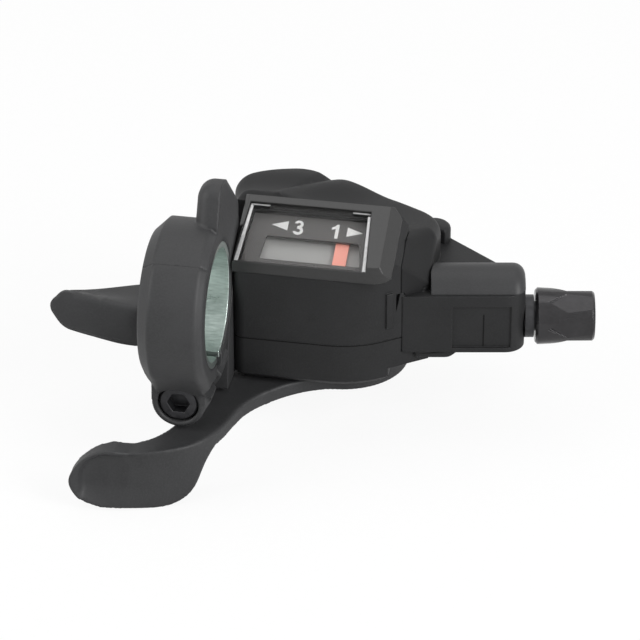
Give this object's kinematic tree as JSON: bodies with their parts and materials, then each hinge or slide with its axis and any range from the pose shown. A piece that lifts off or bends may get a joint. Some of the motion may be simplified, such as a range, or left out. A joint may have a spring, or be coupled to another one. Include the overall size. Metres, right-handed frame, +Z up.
{
  "type": "trigger gear shifter",
  "caption": "Bicycle thumb shifter for a straight handlebar: clamp, case with gear window, thumb lever, release trigger, ratchet and cable adjuster.",
  "frame": {"origin": "centre of the handlebar clamp's bore", "axes": "+X along the handlebar towards the cable outlet, +Y away from the rider, +Z up along the lever axle"},
  "size_m": [0.1079, 0.0659, 0.0604],
  "materials": {
    "black_plastic": "fine matte grain",
    "housing_plastic": "fine matte grain",
    "lever_plastic": "fine matte grain",
    "bezel_gloss": "polished",
    "lens": "clear",
    "dial_plate": "printed",
    "needle_red": "smooth",
    "zinc_band": "zinc plated",
    "black_steel": "black oxide",
    "steel": "stamped",
    "spring_steel": "drawn",
    "drum_plastic": "moulded",
    "barrel_metal": "dark anodised"
  },
  "bodies": {
    "case": {"clamp_cover": "black_plastic", "clamp_shell": "black_plastic", "clamp_band": "zinc_band", "clamp_bolt": "black_steel", "clamp_nut": "steel", "upper_housing": "housing_plastic", "lower_housing": "housing_plastic", "case_screws": "black_steel", "top_cover": "housing_plastic", "indicator_bezel": "bezel_gloss", "indicator_lens": "lens", "indicator_dial": "dial_plate", "bridge_plate": "steel", "pivot_axle": "steel", "axle_washer": "steel", "axle_nut": "steel", "holding_pawl_pin": "steel", "drum_spring": "spring_steel", "lever_spring": "spring_steel", "release_spring": "spring_steel", "outlet_cap": "housing_plastic", "adjuster_stem": "black_steel"},
    "main_lever": {"main_lever": "lever_plastic", "lever_carrier": "steel", "drive_pawl_pin": "steel"},
    "drive_pawl": {"drive_pawl": "steel"},
    "holding_pawl": {"holding_pawl": "steel"},
    "release_lever": {"release_lever": "lever_plastic"},
    "drum": {"cable_drum": "drum_plastic", "ratchet_wheel": "steel"},
    "needle": {"indicator_needle": "needle_red"},
    "adjuster": {"adjuster_barrel": "barrel_metal"}
  },
  "joints": [
    {"name": "lever_swing", "type": "hinge", "parent": "case", "child": "main_lever", "pos_m": [0.0254, 0.0301, -0.024], "axis": [0, 0, -1], "range_deg": [0, 36], "stiffness_Nm_per_rad": 0.05, "deforming": ["lever_spring"]},
    {"name": "drive_pawl_pivot", "type": "hinge", "parent": "main_lever", "child": "drive_pawl", "pos_m": [0.03855, 0.02895, -0.016], "axis": [0, 0, 1], "range_deg": [-17, 0], "stiffness_Nm_per_rad": 0.002},
    {"name": "holding_pawl_pivot", "type": "hinge", "parent": "case", "child": "holding_pawl", "pos_m": [0.02024, 0.01795, -0.016], "axis": [0, 0, 1], "range_deg": [-17, 0], "stiffness_Nm_per_rad": 0.002},
    {"name": "trigger_swing", "type": "hinge", "parent": "case", "child": "release_lever", "pos_m": [0.0254, 0.0301, -0.0199], "axis": [0, 0, 1], "range_deg": [0, 10], "stiffness_Nm_per_rad": 0.08, "deforming": ["release_spring"]},
    {"name": "drum_turn", "type": "hinge", "parent": "case", "child": "drum", "pos_m": [0.0254, 0.0301, -0.01265], "axis": [0, 0, -1], "range_deg": [0, 72], "deforming": ["drum_spring"]},
    {"name": "needle_slide", "type": "slide", "parent": "case", "child": "needle", "axis": [-1, 0, 0], "range_m": [0, 0.0101]},
    {"name": "adjuster_turn", "type": "hinge", "parent": "case", "child": "adjuster", "pos_m": [0.06798, 0.02887, -0.01265], "axis": [0.9833, 0.1822, 0], "continuous": true}
  ],
  "couplings": [
    {"joint": "needle_slide", "follows": "drum_turn", "m_per_rad": 0.008}
  ]
}
